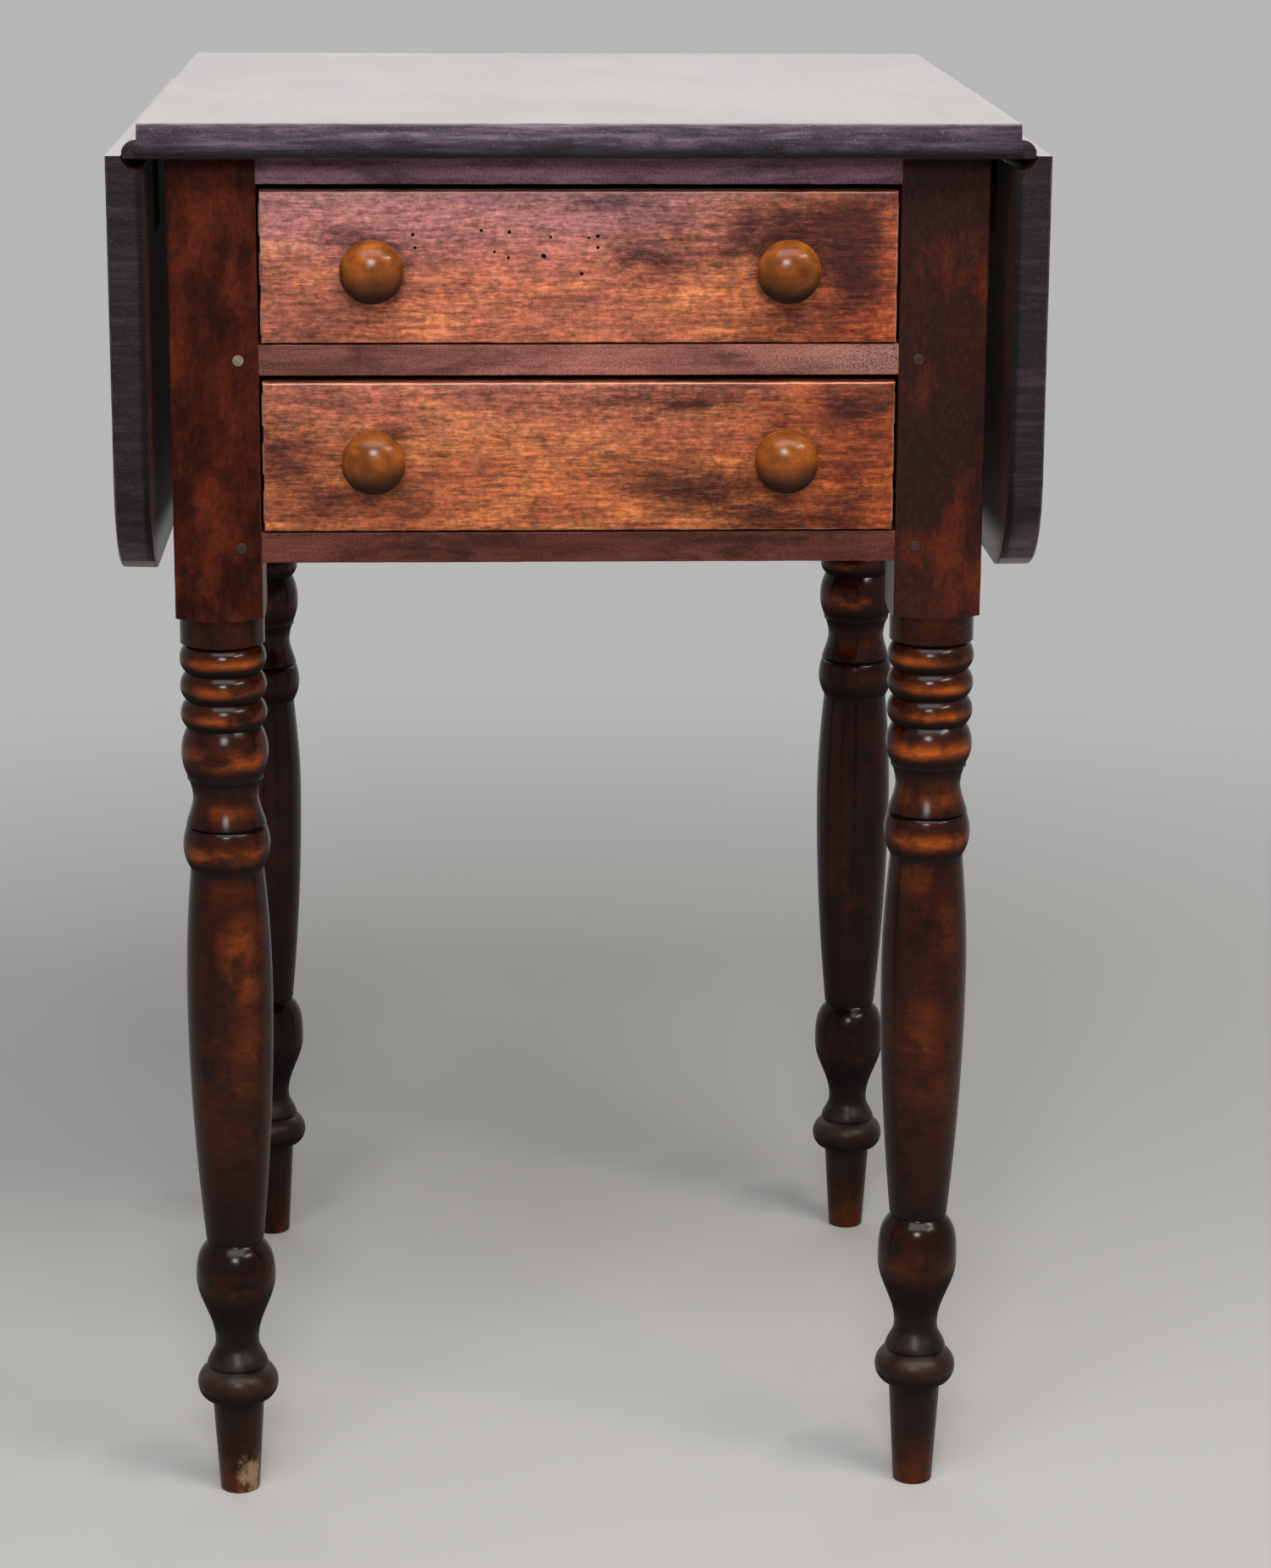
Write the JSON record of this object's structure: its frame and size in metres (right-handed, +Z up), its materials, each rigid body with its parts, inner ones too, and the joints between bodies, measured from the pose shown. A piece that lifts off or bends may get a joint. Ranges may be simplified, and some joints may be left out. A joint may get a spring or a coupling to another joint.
{
  "type": "drop-leaf work table",
  "caption": "Small drop-leaf work table of dark wood: rule-jointed hanging leaves, dovetailed drawers with turned knobs, and square posts over turned legs.",
  "frame": {"origin": "on the floor, under the middle of the fixed top", "axes": "+Z up, the drawers face -Y, +X to the right as seen from the drawers"},
  "size_m": [0.466, 0.488, 0.737],
  "materials": {
    "top_finish": "worn varnish",
    "leg_finish": "varnish",
    "rail_finish": "worn varnish",
    "drawer_front_finish": "worn varnish",
    "knob_finish": "varnish",
    "bare_wood": "bare",
    "peg_wood": "worn",
    "hinge_iron": "aged",
    "screw_steel": "dull"
  },
  "bodies": {
    "case": {"top_board": "top_finish", "front_left_leg": "leg_finish", "front_right_leg": "leg_finish", "rear_left_leg": "leg_finish", "rear_right_leg": "leg_finish", "left_side_panel": "rail_finish", "right_side_panel": "rail_finish", "back_panel": "rail_finish", "top_rail": "rail_finish", "middle_rail": "rail_finish", "bottom_rail": "rail_finish", "upper_left_runner": "bare_wood", "upper_left_guide": "bare_wood", "upper_right_runner": "bare_wood", "upper_right_guide": "bare_wood", "lower_left_runner": "bare_wood", "lower_left_guide": "bare_wood", "lower_right_runner": "bare_wood", "lower_right_guide": "bare_wood", "left_kicker": "bare_wood", "right_kicker": "bare_wood", "rear_cleat": "bare_wood", "joint_pegs": "peg_wood", "top_screws": "screw_steel", "drawer_stops": "bare_wood", "left_top_hinge_plates": "hinge_iron", "left_hinge_pins": "hinge_iron", "left_top_hinge_screws": "screw_steel", "left_support_pin": "screw_steel", "right_top_hinge_plates": "hinge_iron", "right_hinge_pins": "hinge_iron", "right_top_hinge_screws": "screw_steel", "right_support_pin": "screw_steel"},
    "left_leaf": {"left_leaf": "top_finish", "left_leaf_hinge_plates": "hinge_iron", "left_leaf_hinge_screws": "screw_steel"},
    "right_leaf": {"right_leaf": "top_finish", "right_leaf_hinge_plates": "hinge_iron", "right_leaf_hinge_screws": "screw_steel"},
    "left_support": {"left_leaf_support": "bare_wood"},
    "right_support": {"right_leaf_support": "bare_wood"},
    "upper_drawer": {"upper_drawer_front": "drawer_front_finish", "upper_drawer_left_side": "bare_wood", "upper_drawer_right_side": "bare_wood", "upper_drawer_back": "bare_wood", "upper_drawer_bottom": "bare_wood", "upper_drawer_nails": "screw_steel", "upper_left_knob": "knob_finish", "upper_right_knob": "knob_finish"},
    "lower_drawer": {"lower_drawer_front": "drawer_front_finish", "lower_drawer_left_side": "bare_wood", "lower_drawer_right_side": "bare_wood", "lower_drawer_back": "bare_wood", "lower_drawer_bottom": "bare_wood", "lower_drawer_nails": "screw_steel", "lower_left_knob": "knob_finish", "lower_right_knob": "knob_finish"}
  },
  "joints": [
    {"name": "left_leaf_hinge", "type": "hinge", "parent": "case", "child": "left_leaf", "pos_m": [-0.2175, 0, 0.7215], "axis": [0, 1, 0], "range_deg": [0, 90]},
    {"name": "right_leaf_hinge", "type": "hinge", "parent": "case", "child": "right_leaf", "pos_m": [0.2175, 0, 0.7215], "axis": [0, -1, 0], "range_deg": [0, 90]},
    {"name": "upper_drawer_slide", "type": "slide", "parent": "case", "child": "upper_drawer", "axis": [0, -1, 0], "range_m": [0, 0.3]},
    {"name": "lower_drawer_slide", "type": "slide", "parent": "case", "child": "lower_drawer", "axis": [0, -1, 0], "range_m": [0, 0.3]},
    {"name": "left_support_swing", "type": "hinge", "parent": "case", "child": "left_support", "pos_m": [-0.1935, 0, 0.708], "axis": [0, 0, 1], "range_deg": [0, 180]},
    {"name": "right_support_swing", "type": "hinge", "parent": "case", "child": "right_support", "pos_m": [0.1935, 0, 0.708], "axis": [0, 0, -1], "range_deg": [0, 180]}
  ],
  "couplings": [
    {"joint": "left_support_swing", "follows": "left_leaf_hinge", "ratio": 2},
    {"joint": "right_support_swing", "follows": "right_leaf_hinge", "ratio": 2}
  ]
}
